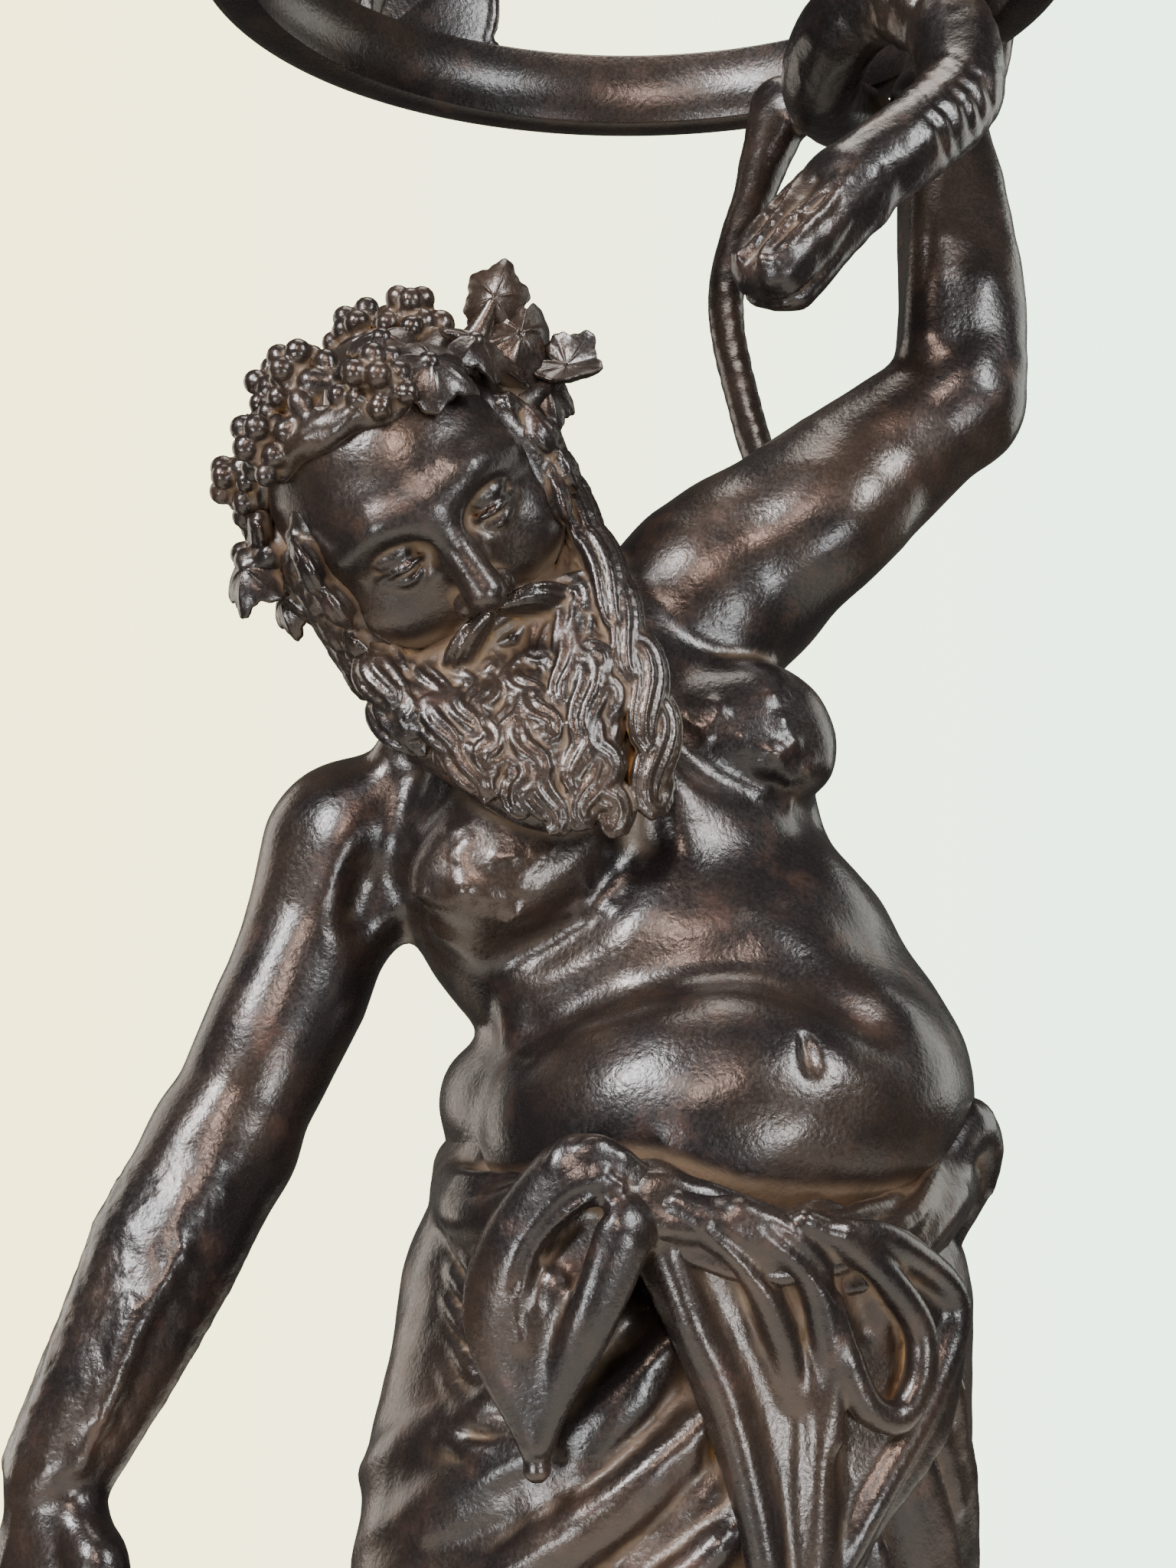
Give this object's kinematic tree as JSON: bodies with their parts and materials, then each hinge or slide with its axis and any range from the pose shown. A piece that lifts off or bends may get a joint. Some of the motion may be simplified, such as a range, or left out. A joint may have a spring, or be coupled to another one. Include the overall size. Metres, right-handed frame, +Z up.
{
  "type": "bronze silenus statue",
  "caption": "Cast bronze statue of a bearded silenus with a vine wreath and hip cloth, raising a serpent-footed hoop that holds a vessel.",
  "frame": {"origin": "middle of the base's underside, where the statue stands", "axes": "+Z up, -Y the way the body faces, +X the viewer's right, on the side of the raised arm"},
  "size_m": [0.2196, 0.19, 0.5675],
  "materials": {
    "patinated_bronze": "near-black brown patina, satin to glossy, with ochre in the hollows",
    "base_bronze": "near-black brown patina, satin"
  },
  "bodies": {
    "root": {"round_base": "base_bronze", "silenus": "patinated_bronze", "serpent_hoop": "patinated_bronze"}
  },
  "joints": []
}
